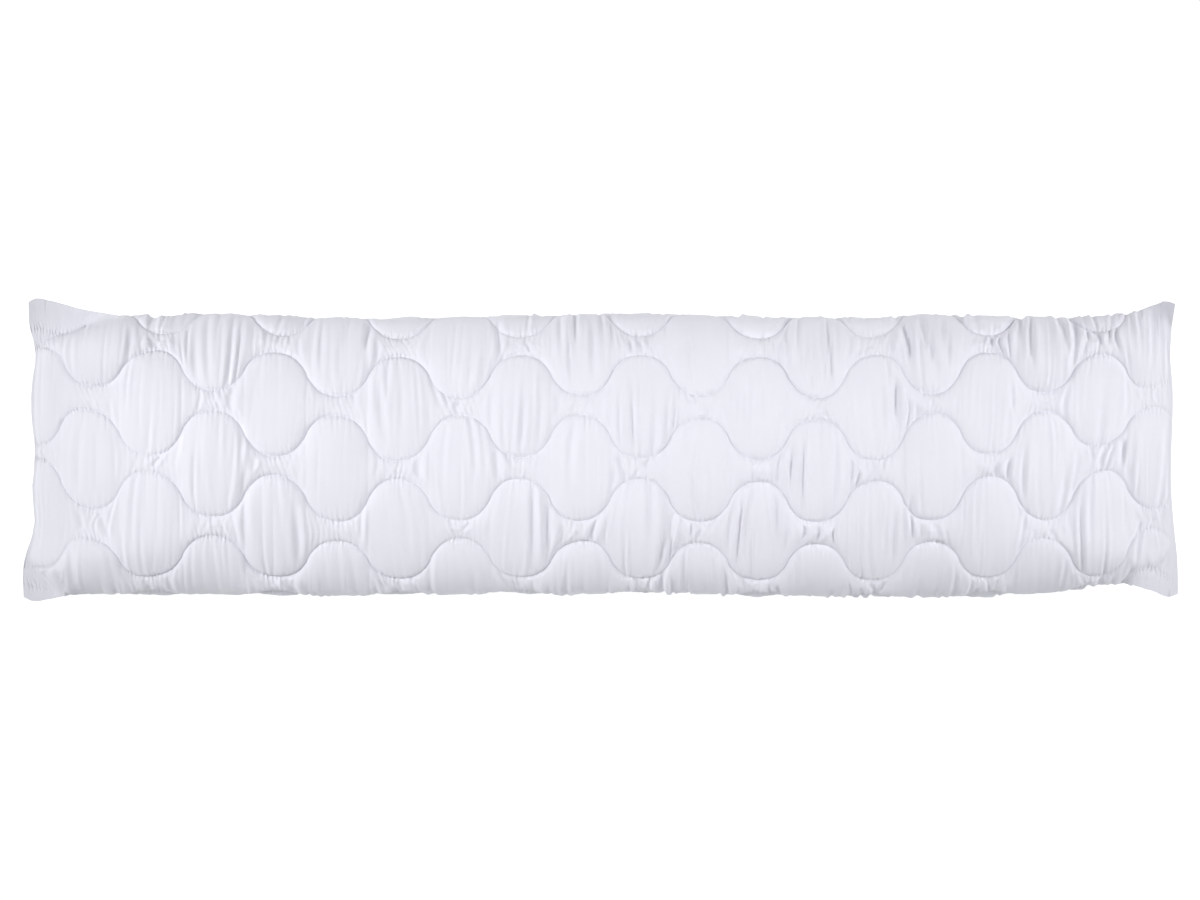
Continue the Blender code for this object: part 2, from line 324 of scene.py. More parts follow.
def layOut(count, segmentsOfRows):
    stations = np.linspace(-halfLength, halfLength, count)
    curves = sectionCurves(stations)
    perRow = curves["faceLength"] / cover["rowsOnFace"]
    lines, rowOf = [], []
    rows = [rowPlaces(row, stations, curves["faceLength"]) for row in range(cover["rowsAround"])]
    rows.append(rows[0] + cover["rowsAround"])
    for row in range(cover["rowsAround"]):
        gap = (rows[row + 1] - rows[row]) * perRow
        segments = segmentsOfRows[row]
        # closer to the stitching where the gap is wide
        crowd = np.clip((gap / 2 - cover["crowdingStep"]) / cover["crowdingStep"], *cover["crowding"])
        for k in range(segments):
            fromMiddle = 2 * k / segments - 1
            near = np.sinh(crowd * (1 - abs(fromMiddle))) / np.sinh(crowd)
            warped = 0.5 + 0.5 * np.sign(fromMiddle) * (1 - near)
            lines.append(rows[row] + (rows[row + 1] - rows[row]) * warped)
            rowOf.append(row)
    linePlace = place = np.stack(lines, axis=1)
    turn = cover["turnEnd"] + (cover["turnMiddle"] - cover["turnEnd"]) * (1 - (stations / halfLength) ** 2)
    turned = 0.5 - (turn / curves["faceLength"])[:, None]
    share = (place / cover["rowsOnFace"] + turned) % 2
    for edge, side in ((1, 1), (0, -1)):
        place = followEdge(place, (share - edge + 1) % 2 - 1, fullness(stations, side * emptyAt))
    share = (place / cover["rowsOnFace"] + turned) % 2
    y = np.empty_like(place)
    z = np.empty_like(place)
    for i in range(count):
        half = curves["faceLength"][i]
        whole = curves["along"][i, -1]
        distance = np.where(share[i] <= 1, share[i] * half, half + (share[i] - 1) * (whole - half))
        y[i] = np.interp(distance, curves["along"][i], curves["y"][i])
        z[i] = np.interp(distance, curves["along"][i], curves["z"][i])
    x = np.repeat(stations[:, None], place.shape[1], axis=1)
    fold, seam = curves["fold"][:, None], curves["seam"][:, None]
    across = (2 * y - fold - seam) / (fold - seam)
    full = fullness(x, across)
    z = z + earRise(x, across)
    ease = np.clip(1 - (halfLength - np.abs(x)) / drawnInReach, 0, 1) ** 2
    pull = np.where(
        x < 0,
        fromTable(drawnIn, drawnInColumns, "left", across),
        fromTable(drawnIn, drawnInColumns, "right", across),
    ) / 1000
    x = x - np.sign(x) * pull * ease
    rows, rowOf = np.stack(rows, axis=1), np.array(rowOf)
    gapShare = (place - rows[:, rowOf]) / (rows[:, rowOf + 1] - rows[:, rowOf])
    return {
        "points": np.stack([x, y, z], axis=2), "stations": stations,
        "place": place, "linePlace": linePlace, "gapShare": gapShare,
        "full": full, "perRow": perRow, "rows": rows, "rowOf": rowOf,
    }


def gridNormals(points):
    du = np.gradient(points, axis=0)
    dv = np.roll(points, -1, axis=1) - np.roll(points, 1, axis=1)
    normal = np.cross(du, dv)
    return normal / np.maximum(np.linalg.norm(normal, axis=2, keepdims=True), 1e-12)


quilting = {
    "loft": 0.0031,          # how far the cloth stands over its stitching
    "loftReach": 0.0085,
    "shoulder": 0.0016,      # it rises steeply at first
    "shoulderReach": 0.0020,
    "notch": 0.0007,         # the stitch line itself
    "notchReach": 0.0011,
    "lostAtNecks": 0.35,     # share of the loft that's lost where two rows come close
    "neckReach": 0.03,
    "pressedHeight": 0.014,
    "pressedFrom": 0.001,
    "softRows": (2, 3, 7, 8),   # these run where the cover turns down, and sink in less sharply
    "softer": 1.7,
}

puckers = {
    "pitch": (0.0045, 0.0085),
    "depth": 0.0021,
    "depths": (0.35, 1.0),
    "lean": 0.006,            # they cross the gap at a slant
    "leanPitch": 0.07,
    "leanOutwards": 0.006,
    "reach": 0.0065,          # how far they run from the stitching
    "neckReach": 0.014,       # further where two rows come close
    "neck": (0.0216, 0.0468),     # width of the gap over which that fades
    "start": 0.0015,
    "before": 0.01,           # the first one is off the pillow
    "seeds": (60, 160),
}

gathers = {
    "pitch": (0.007, 0.022),      # from one to the next along a gap between two rows
    "width": (0.0014, 0.0034),
    "valleys": (0.25, 1.40),      # depth as a share of the width
    "pleats": (0.12, 0.55),
    "shareOfPleats": 0.55,        # pleats are steps
    "reach": (0.16, 0.42),        # share of the gap that one runs over, each way
    "mostlyFaint": 1.5,           # power of the spread between the least and the most
    "vigour": (0.20, 1.45),       # some cells are calm
    "slant": 0.012,               # each cell's creases lean its own way
    "lean": 0.004,
    "bow": 0.008,                 # they bend with the cell's outline
    "besideNeck": 0.026,          # they are deepest this far from the middle of a neck
    "besideNeckReach": 0.013,
    "sideRows": (1, 2, 6, 7),     # the cloth creases more where it turns down the sides
    "onSides": 1.25,
    "crowdedOnSides": 0.65,
    "atNecks": 0.28,              # beside a neck even a calm cell has some
    "leastBow": 0.2,
    "middle": (0.15, 0.85),
    "band": 0.036,                # no crease strays further than this from its station
    "cap": 0.0026,                # where several run together
    "flatAtStitching": 0.002,
    "rightGain": 0.95,            # the right half is gathered tighter
    "rightGainStations": (-0.10, 0.12),
    "turnOfPleats": 0.198,        # pleats face the other way right of this station
    "cellCount": 14,              # cells in a gap, or more
    "seed": 900,
}

lumps = {
    "filling": 0.0012,           # soft filling, unevenly spread
    "fillingPitch": (0.075, 0.075),
    "sag": 0.00015,              # gentle streaks across the cover
    "sagPitch": (0.013, 0.070),
    "side": 0.0013,              # the sides bulge between the gathers
    "sidePitch": (0.030, 0.045),
    "fold": 0.0009,              # loose creases, in patches
    "foldPitch": (0.014, 0.110),
    "foldTop": 1.2,
    "foldSharpness": 0.7,
    "foldMean": 0.7,
    "patchPitch": (0.06, 0.07),
    "patchRange": (-0.6, 1.0),
    "sideFacing": (0.02, 0.25),
    "flatAtStitching": 0.006,
    "seeds": {"filling": 5, "sag": 6, "side": 9, "patch": 8, "fold": 7},
}

# the main creases, in mm from the middle, from the stitching to where each fades
# side is 0 for a valley and 1 or -1 for a pleat that rises to the right or to the left
mainCreaseColumns = ("x", "y", "toX", "toY", "strength", "side")
mainCreases = (
    # row of cells along the fold
    (-307, 158, -324, 101, 3, 0),
    (-282, 152, -294, 109, 4, 0),
    (-174, 155, -181, 72, 3, 1),
    (-143, 142, -156, 74, 3, 1),
    (-127, 158, -121, 109, 4, 0),
    (108, 142, 113, 80, 3, 1),
    (257, 130, 265, 74, 3, -1),
    (276, 148, 283, 77, 3, -1),
    (374, 151, 383, 109, 4, 0),
    (393, 158, 416, 89, 3, 0),
    (417, 151, 430, 111, 3, 0),
    (569, 151, 576, 111, 3, 0),
    # second row of cells
    (-418, 79, -427, 25, 3, 1),
    (-271, 79, -265, 25, 4, 0),
    (-265, 75, -256, 6, 3, 1),
    (-92, 70, -99, -6, 2, 0),
    (-83, 77, -96, -6, 4, 1),
    (38, 77, 42, -6, 3, 0),
    (362, 79, 361, 31, 4, 0),
    (499, 77, 506, 31, 3, -1),
    # third row of cells
    (-486, -12, -475, -62, 3, 1),
    (-153, -25, -153, -62, 3, 1),
    (-127, 0, -124, -40, 4, 0),
    (22, -6, 32, -40, 3, 0),
    (236, 0, 231, -37, 3, 0),
    (643, 12, 640, -25, 4, 0),
    # fourth row of cells
    (-614, -77, -602, -111, 3, 0),
    (-447, -77, -439, -124, 4, 1),
    (-288, -66, -292, -124, 4, 1),
    (-83, -47, -83, -148, 4, 0),
    (-77, -49, -73, -136, 4, 1),
    (-64, -68, -64, -124, 4, 0),
    (89, -77, 83, -118, 4, 0),
    (376, -59, 382, -118, 4, -1),
    (520, -68, 510, -130, 3, -1),
    (663, -87, 656, -111, 3, -1),
    # row of cells along the sewn side
    (-672, -152, -649, -173, 3, 0),
    (-42, -118, -52, -176, 3, 1),
    (569, -136, 565, -173, 3, -1),
    (656, -146, 638, -176, 3, 0),
    (-666, -155, -638, -176, 3, 0),
    # the ear beside the fold
    (680, 166, 705, 152, 4, 0),
)
creasing = {
    "width": 0.0022,
    "widening": (0.75, 0.15),     # width as a share of that, and what each step of strength adds
    "steepness": {0: 0.32, 1: 0.12, -1: 0.12},    # depth as a share of the width, for each step
    "fade": (0.16, 0.40),         # share of the length at each end
    "past": (0.08, 0.06),         # share of the length that it runs on, past each end
    "band": 0.018,
    "lostAtStitching": 0.8,       # share lost right at the stitching
    "stitchingReach": 0.0015,
}

# profile across a crease, in crease widths
valley = {"depth": 0.7, "width": 1.25, "power": 1.6}
shoulder = {"height": 0.35, "place": 2.6, "width": 1.5}
pleatHalfStep = 0.9


def creaseShape(off, side):
    # a valley between soft shoulders, or a step between a ridge and a hollow
    if side == 0:
        rise = np.exp(-((np.abs(off) - shoulder["place"]) / shoulder["width"]) ** 2)
        drop = np.exp(-np.abs(off / valley["width"]) ** valley["power"])
        return shoulder["height"] * rise - valley["depth"] * drop
    return np.exp(-(off * side - pleatHalfStep) ** 2) - np.exp(-(off * side + pleatHalfStep) ** 2)


def rowSlopes(grid):
    waves = (grid["rows"] - np.arange(cover["rowsAround"] + 1)) * grid["perRow"][:, None]
    return np.gradient(waves, grid["stations"], axis=0)


def stitchDistances(grid):
    # distances to the nearer and the further row, measured square to the stitching
    place, rows, perRow = grid["place"], grid["rows"], grid["perRow"]
    lean = 1 / np.sqrt(1 + rowSlopes(grid) ** 2)
    rowOf = grid["rowOf"]
    below = np.maximum(place - rows[:, rowOf], 0) * perRow[:, None] * lean[:, rowOf]
    above = np.maximum(rows[:, rowOf + 1] - place, 0) * perRow[:, None] * lean[:, rowOf + 1]
    isBelow = below < above
    leanHere = np.where(isBelow, lean[:, rowOf], lean[:, rowOf + 1])
    return np.minimum(below, above), np.maximum(below, above), leanHere, isBelow


def quiltRelief(grid, near, far):
    nearestRow = (grid["rowOf"] + (grid["gapShare"] > 0.5)) % cover["rowsAround"]
    soft = np.isin(nearestRow, quilting["softRows"])
    reach = quilting["loftReach"] * np.where(soft, quilting["softer"], 1)
    lost = quilting["lostAtNecks"] * np.exp(-far / quilting["neckReach"])
    lift = quilting["loft"] * (1 - np.exp(-near / reach)) * (1 - lost)
    lift += quilting["shoulder"] * (1 - np.exp(-near / quilting["shoulderReach"]))
    return lift - quilting["notch"] * np.exp(-(near / quilting["notchReach"]) ** 2)


def puckerRelief(grid, near, far, squareness):
    # each gap between two rows has its own little gathers
    relief = np.zeros_like(near)
    stations = grid["stations"]
    for row in range(cover["rowsAround"]):
        rng = np.random.default_rng(puckers["seeds"][0] + row)
        steps = rng.uniform(*puckers["pitch"], int(2 * halfLength / puckers["pitch"][0]) + 2)
        depths = rng.uniform(*puckers["depths"], len(steps))
        places = np.cumsum(steps) - halfLength - puckers["before"]
        lines = grid["rowOf"] == row
        lean = looseNoise(stations, 0 * stations, puckers["leanPitch"], 1, puckers["seeds"][1] + row)
        lean = lean * puckers["lean"]
        lean -= stations / halfLength * puckers["leanOutwards"]
        across = stations[:, None] + lean[:, None] * (grid["gapShare"][:, lines] - 0.5)
        count = np.interp(across, places, np.arange(len(places)))
        depth = np.interp(across, places, depths) * puckers["depth"]
        relief[:, lines] = -depth * (0.5 + 0.5 * np.cos(2 * math.pi * count)) ** 2
    narrow = 1 - smoothStep(near + far, *puckers["neck"])
    reach = puckers["reach"] + (puckers["neckReach"] - puckers["reach"]) * narrow
    relief = relief * squareness ** 3 * np.exp(-near / reach)
    return relief * smoothStep(near, -puckers["start"], puckers["start"])


def gatherRelief(grid):
    # the cloth that the stitching gathers at a neck runs on in creases over the cells beside it
    relief = np.zeros_like(grid["place"])
    stations = grid["stations"]
    waves = halfWaves(stations)
    for row in range(cover["rowsAround"]):
        rng = np.random.default_rng(gathers["seed"] + row)
        lines = np.flatnonzero(grid["rowOf"] == row)
        share = grid["gapShare"][:, lines]
        onSide = row in gathers["sideRows"]
        vigours = rng.uniform(*gathers["vigour"], gathers["cellCount"])
        slants = rng.uniform(-1, 1, gathers["cellCount"]) * gathers["slant"]
        centre = -halfLength
        while centre < halfLength:
            centre += rng.uniform(*gathers["pitch"]) * (gathers["crowdedOnSides"] if onSide else 1)
            wave = float(np.interp(centre, stations, waves))
            neck = 2 * round((wave - row) / 2) + row
            fromNeck = centre - float(np.interp(neck, waves, stations))
            beside = (abs(fromNeck) - gathers["besideNeck"]) / gathers["besideNeckReach"]
            side = 0
            if rng.uniform() < gathers["shareOfPleats"]:
                side = 1 if centre < gathers["turnOfPleats"] else -1
            width = rng.uniform(*gathers["width"])
            cell = int((neck + math.copysign(1, fromNeck)) // 2 + 2) % gathers["cellCount"]
            least, most = gathers["pleats" if side else "valleys"]
            depth = width * (least + (most - least) * rng.uniform() ** gathers["mostlyFaint"])
            depth *= vigours[cell] + gathers["atNecks"] * math.exp(-beside ** 2)
            depth *= gathers["onSides"] if onSide else 1
            lean = slants[cell] + rng.uniform(-1, 1) * gathers["lean"]
            bow = -rng.uniform(gathers["leastBow"], 1) * gathers["bow"] * math.copysign(1, fromNeck)
            middle = rng.uniform(*gathers["middle"])
            reach = rng.uniform(*gathers["reach"])
            band = np.flatnonzero(np.abs(stations - centre) < gathers["band"])
            here = share[band]
            bend = lean * (here - 0.5) + bow * (1 - (2 * here - 1) ** 2)
            off = (stations[band, None] - centre - bend) / width
            window = np.exp(-((here - middle) / reach) ** 4)
            relief[np.ix_(band, lines)] += creaseShape(off, side) * window * depth
    return relief


def mainRelief(grid):
    x, y = grid["points"][:, :, 0], grid["points"][:, :, 1]
    relief = np.zeros_like(x)
    for row in mainCreases:
        crease = dict(zip(mainCreaseColumns, row))
        start = np.array((crease["x"], crease["y"])) / 1000
        run = np.array((crease["toX"], crease["toY"])) / 1000 - start
        longest = float(np.hypot(*run))
        low, high = sorted((start[0], start[0] + run[0]))
        band = (grid["stations"] > low - creasing["band"]) & (grid["stations"] < high + creasing["band"])
        dx, dy = x[band] - start[0], y[band] - start[1]
        along = (dx * run[0] + dy * run[1]) / longest ** 2
        off = (dy * run[0] - dx * run[1]) / longest * np.sign(-run[1])
        least, more = creasing["widening"]
        width = creasing["width"] * (least + more * crease["strength"])
        ends = smoothStep(along, -creasing["past"][0], creasing["fade"][0])
        ends = ends * (1 - smoothStep(along, 1 - creasing["fade"][1], 1 + creasing["past"][1]))
        depth = width * creasing["steepness"][crease["side"]] * crease["strength"]
        relief[band] += creaseShape(off / width, crease["side"]) * ends * depth
    return relief


def flatCloth(grid):
    # each point's place on the flat cloth, and the cloth's length once round
    rowSpacing = float(grid["perRow"].mean())
    x = np.repeat(grid["stations"][:, None], grid["place"].shape[1], axis=1)
    return x, grid["place"] * rowSpacing, cover["rowsAround"] * rowSpacing


def looseRelief(grid, facing):
    x, y, around = flatCloth(grid)
    noise = {name: looseNoise(x, y, *lumps[name + "Pitch"], seed, around)
             for name, seed in lumps["seeds"].items()}
    relief = lumps["filling"] * noise["filling"]
    relief += lumps["sag"] * noise["sag"]
    relief += lumps["side"] * noise["side"] * (1 - facing)
    patch = smoothStep(noise["patch"], *lumps["patchRange"])
    fold = np.abs(noise["fold"])
    fold = np.minimum(fold, lumps["foldTop"]) ** lumps["foldSharpness"] - lumps["foldMean"]
    return relief + lumps["fold"] * patch * fold


settling = {
    "stations": 575,
    "segments": (8, 8, 6, 4, 1, 1, 4, 6, 8, 8),
    "frames": 20,
    "slackAtStitching": 0.3,   # the stitching draws the cloth up, so there is more of it beside it
    "slackReach": 0.008,
    "cap": 0.0048,             # no point moves further than this
    "share": 0.95,             # how much of the movement the finished cover keeps
    "loft": 0.7,               # share of the cover's loft that it starts with
    "endLines": 3,             # mesh lines held at each end seam
    "onFloor": 0.004,          # what lies lower than this is held too
    "slackMiddle": 0.5,
    "slackPatches": (0.28, 0.25),     # small and large
    "patchPitches": ((0.05, 0.045), (0.16, 0.09)),
    "slackInOpen": 0.6,
    "weightSteps": 50,
    "seeds": (71, 72),
}
clothSettings = {
    "shrink_min": 0,
    "shrink_max": -0.24,       # share by which the cloth is longer than the filled shape
    "mass": 0.1,
    "tension_stiffness": 15,
    "compression_stiffness": 15,
    "bending_stiffness": 0.8,
    "tension_damping": 1,
    "compression_damping": 1,
    "shear_damping": 1,
    "use_pressure": True,
    "uniform_pressure_force": 4,
}


def setWeights(body, name, weights):
    vertexGroup = body.vertex_groups.new(name=name)
    steps = np.round(weights.ravel() * settling["weightSteps"]) / settling["weightSteps"]
    for step in np.unique(steps):
        vertexGroup.add(np.flatnonzero(steps == step).tolist(), float(step), "REPLACE")
    return vertexGroup.name


def settleCover():
    # the cover, a little too large for its filling and held along its stitching, settles under pressure
    coarse = layOut(settling["stations"], settling["segments"])
    normals = gridNormals(coarse["points"])
    near, far = stitchDistances(coarse)[:2]
    points = coarse["points"] + normals * quiltRelief(coarse, near, far)[:, :, None] * settling["loft"]
    count, around = points.shape[:2]
    held = np.zeros((count, around))
    held[:, np.cumsum((0,) + settling["segments"][:-1])] = 1
    held[:settling["endLines"]] = 1
    held[-settling["endLines"]:] = 1
    held[points[:, :, 2] < settling["onFloor"]] = 1
    x, y, wayRound = flatCloth(coarse)
    stitched = np.exp(-near / settling["slackReach"])
    slack = settling["slackMiddle"]
    for share, pitch, seed in zip(settling["slackPatches"], settling["patchPitches"], settling["seeds"]):
        slack = slack + share * looseNoise(x, y, *pitch, seed, wayRound)
    inOpen = settling["slackInOpen"]
    slack = slack * (inOpen + (1 - inOpen) * stitched) + settling["slackAtStitching"] * stitched
    slack = np.clip(slack, 0, 1)

    body = addObject("settlingCover", coverMesh(points))
    cloth = body.modifiers.new("Cloth", "CLOTH")
    cloth.settings.vertex_group_mass = setWeights(body, "held", held)
    cloth.settings.vertex_group_shrink = setWeights(body, "slack", slack)
    for name, value in clothSettings.items():
        setattr(cloth.settings, name, value)
    cloth.settings.effector_weights.gravity = 0
    cloth.collision_settings.use_collision = False
    cloth.point_cache.frame_start = 1
    cloth.point_cache.frame_end = settling["frames"]
    for frameNumber in range(1, settling["frames"] + 1):
        bpy.context.scene.frame_set(frameNumber)
    evaluated = body.evaluated_get(bpy.context.evaluated_depsgraph_get()).to_mesh()
    settled = np.empty(count * around * 3, np.float32)
    evaluated.vertices.foreach_get("co", settled)
    bpy.context.scene.frame_set(1)
    bpy.data.objects.remove(body)
    moved = ((settled.reshape(count, around, 3) - points) * normals).sum(axis=2)
    moved = settling["cap"] * np.tanh(moved / settling["cap"])
    return coarse["stations"], moved


def linePlaces(segments):
    # where the mesh lines stand, in rows, if each gap is shared out evenly
    rows = range(cover["rowsAround"])
    return [row + k / segments[row] for row in rows for k in range(segments[row])]


def settledRelief(grid):
    # the settled movement, read off at the fine mesh's points
    stations, moved = settleCover()
    closed = np.concatenate([moved, moved[:, :1]], axis=1)
    coarsePlaces = linePlaces(settling["segments"]) + [cover["rowsAround"]]
    finePlaces = linePlaces(cover["segments"])
    across = np.array([np.interp(finePlaces, coarsePlaces, line) for line in closed])
    along = np.array([np.interp(grid["stations"], stations, line) for line in across.T]).T
    # and at the lines that were moved onto a thin edge
    for i, (place, linePlace) in enumerate(zip(grid["place"], grid["linePlace"])):
        along[i] = np.interp(place, linePlace, along[i], period=cover["rowsAround"])
    return along * settling["share"]


thinCloth = {
    "least": 0.2,       # empty cloth keeps this share of the relief
    "power": 0.25,
    "flatEnd": 0.014,   # the end seams lie flat
}


def clothRelief(grid, normals):
    near, far, lean = stitchDistances(grid)[:3]
    facing = smoothStep(normals[:, :, 2], *lumps["sideFacing"])
    held = 1 - np.exp(-near / lumps["flatAtStitching"])
    relief = quiltRelief(grid, near, far)
    relief += puckerRelief(grid, near, far, lean)
    rightward = smoothStep(grid["stations"], *gathers["rightGainStations"])[:, None]
    tightness = 1 + gathers["rightGain"] * rightward
    gathered = gatherRelief(grid) * (1 - np.exp(-near / gathers["flatAtStitching"])) * tightness
    relief += gathers["cap"] * np.tanh(gathered / gathers["cap"])
    relief += settledRelief(grid)
    relief += looseRelief(grid, facing) * held
    pressed = smoothStep(grid["points"][:, :, 2], quilting["pressedFrom"], quilting["pressedHeight"])
    relief *= thinCloth["least"] + (1 - thinCloth["least"]) * grid["full"] ** thinCloth["power"]
    unstitched = 1 - creasing["lostAtStitching"] * np.exp(-near / creasing["stitchingReach"])
    relief += mainRelief(grid) * facing * unstitched * tightness
    fromEnd = halfLength - np.abs(grid["stations"])[:, None]
    return relief * pressed * smoothStep(fromEnd, 0, thinCloth["flatEnd"])


def unitNormals(points, corners):
    # of triangles, one for each set of three corners
    a, b, c = (points[corner] for corner in corners)
    normal = np.cross(b - a, c - a)
    return normal / np.maximum(np.linalg.norm(normal, axis=1, keepdims=True), 1e-12)


foldedBelow = 0.6    # cosine between a quad's halves, below which a thin edge runs across it
sharpAngle = 75      # at the seams and the thin edges of the ears


def gridFaces(points):
    count, around = points.shape[:2]
    i = np.arange(count - 1)[:, None]
    j = np.arange(around)[None, :]
    following = (j + 1) % around
    corners = (i * around + j, (i + 1) * around + j, (i + 1) * around + following, i * around + following)
    quads = np.stack(corners, axis=2).reshape(-1, 4)
    place = points.reshape(-1, 3)
    a, b, c, d = quads.T
    folded = (unitNormals(place, (a, b, c)) * unitNormals(place, (a, c, d))).sum(axis=1) < foldedBelow
    faces = quads[~folded].tolist()
    # a folded quad is split along the thin edge, which is the diagonal further out
    outwards = np.abs(place[:, 1])
    for a, b, c, d in quads[folded].tolist():
        if outwards[a] + outwards[c] > outwards[b] + outwards[d]:
            faces += [[a, b, c], [a, c, d]]
        else:
            faces += [[a, b, d], [b, c, d]]
    return faces


def endFaces(ringStart, points, flip):
    # zips a ring's face to its underside, from the sewn side to the fold
    count = len(points)
    across = points[:, 1]
    start, stop = int(across.argmin()), int(across.argmax())
    upper = [(start + k) % count for k in range((stop - start) % count + 1)]
    lower = [(start - k) % count for k in range((start - stop) % count + 1)]
    faces, i, j = [], 0, 0
    while i < len(upper) - 1 or j < len(lower) - 1:
        goUp = j == len(lower) - 1 or (i < len(upper) - 1 and across[upper[i + 1]] < across[lower[j + 1]])
        corner = upper[i + 1] if goUp else lower[j + 1]
        face = (upper[i], corner, lower[j])
        if len(set(face)) == 3:
            faces.append([ringStart + k for k in (face[::-1] if flip else face)])
        i, j = (i + 1, j) if goUp else (i, j + 1)
    return faces


def coverMesh(points):
    count, around = points.shape[:2]
    faces = gridFaces(points)
    faces += endFaces(0, points[0], False)
    faces += endFaces((count - 1) * around, points[-1], True)
    mesh = bpy.data.meshes.new("quiltedCover")
    mesh.from_pydata(points.reshape(-1, 3).tolist(), [], faces)
    mesh.shade_smooth()
    mesh.set_sharp_from_angle(angle=math.radians(sharpAngle))
    return mesh


def rowLengths(grid):
    # length of thread from the left end, along every stitch row
    step = np.sqrt(1 + rowSlopes(grid) ** 2) * np.gradient(grid["stations"])[:, None]
    return np.cumsum(step, axis=0)


def addCornerValues(mesh, name, values):
    # values has one column more than the mesh has lines, so that nothing jumps where the sheet closes
    around = values.shape[1] - 1
    vertex = np.empty(len(mesh.loops), np.int32)
    mesh.loops.foreach_get("vertex_index", vertex)
    corners = np.empty(len(mesh.polygons), np.int32)
    mesh.polygons.foreach_get("loop_total", corners)
    column = vertex % around
    last = np.maximum.reduceat(column, np.cumsum(corners) - corners)
    closing = (column == 0) & (np.repeat(last, corners) == around - 1)
    attribute = mesh.attributes.new(name, "FLOAT_VECTOR", "CORNER")
    found = values[vertex // around, np.where(closing, around, column)]
    attribute.data.foreach_set("vector", found.astype(np.float32).ravel())


def addSurfaceValues(mesh, grid):
    # "sheet" is the place on the flat cloth
    # "stitching" is the distance to the nearest row, the place along it, and 1 where it runs lengthwise
    rowSpacing = float(grid["perRow"].mean())
    closing = grid["place"][:, :1] + cover["rowsAround"]
    place = np.concatenate([grid["place"], closing], axis=1)
    x = np.repeat(grid["stations"][:, None], place.shape[1], axis=1)
    addCornerValues(mesh, "sheet", np.stack([x, place * rowSpacing, 0 * x], axis=2))
    near, _, squareness, isBelow = stitchDistances(grid)
    lengths = rowLengths(grid)
    rowOf = grid["rowOf"]
    along = np.where(isBelow, lengths[:, rowOf], lengths[:, rowOf + 1])
    values = np.stack([near, along, squareness], axis=2)
    addCornerValues(mesh, "stitching", np.concatenate([values, values[:, :1]], axis=1))


grid = layOut(cover["stations"], cover["segments"])
report("layout %s" % (grid["points"].shape,))
normals = gridNormals(grid["points"])
points = grid["points"] + normals * clothRelief(grid, normals)[:, :, None]
report("relief")
coverObject = addObject("quiltedCover", coverMesh(points))
report("mesh with %d faces" % len(coverObject.data.polygons))


def linear(hexColour):
    # sRGB hex to Blender's linear values
    parts = [int(hexColour[k:k + 2], 16) / 255 for k in (1, 3, 5)]
    return tuple(p / 12.92 if p <= 0.04045 else ((p + 0.055) / 1.055) ** 2.4 for p in parts) + (1,)


def addNode(tree, kind, settings=None, inputs=None):
    # inputs are values, or sockets to link, or nodes whose first output is linked
    node = tree.nodes.new("ShaderNode" + kind)
    for name, value in (settings or {}).items():
        setattr(node, name, value)
    for name, value in (inputs or {}).items():
        if isinstance(value, bpy.types.Node):
            value = value.outputs[0]
        if isinstance(value, bpy.types.NodeSocket):
            tree.links.new(value, node.inputs[name])
        else:
            node.inputs[name].default_value = value
    return node


def setInputs(node, values):
    for name, value in values.items():
        node.inputs[name].default_value = value


def newMaterial(name, surface):
    material = bpy.data.materials.new(name)
    material.use_nodes = True
    tree = material.node_tree
    shader = tree.nodes["Principled BSDF"]
    setInputs(shader, surface)
    return material, tree, shader


# brushed polyester microfibre, plain woven and calendered: white, with a soft sheen at grazing angles
microfibre = {
    "colour": "#e6e6ed",
    "worn": "#e3e3eb",           # a little greyer in large soft patches
    "threadPitch": 0.0011,       # really about 0.25 mm, drawn coarser so that it shows at all
    "threadDepth": 0.00004,
    "napDepth": 0.00005,         # the brushed nap's mottling
    "tickPitch": 0.0052,         # gathers between one needle hole and the next few
    "tickReach": 0.0042,
    "tickDepth": 0.00055,
    "tickShift": 0.011,          # how far they stray from even spacing
    "tickStrengths": (0.25, 1.0),    # least and most
    "tickRange": (0.35, 0.65),   # of the unevenness, from the least to the most
    "crinklePitch": 0.009,       # fine crinkles that run away from the stitching
    "crinkleDepth": 0.00022,
    "crinkleStretch": 0.22,
    "crinkleDistortion": 0.35,
    # size in metres, detail and roughness of each unevenness
    "uneven": {
        "colour": (0.045, 3.0, 0.55),
        "nap": (0.0035, 4.0, 0.6),
        "tickShift": (0.014, 2.0, 0.5),
        "tickStrength": (0.03, 1.0, 0.5),
    },
    "surface": {
        "Roughness": 0.86,
        "Sheen Weight": 0.12,
        "Sheen Roughness": 0.45,
        "Specular IOR Level": 0.3,
    },
}


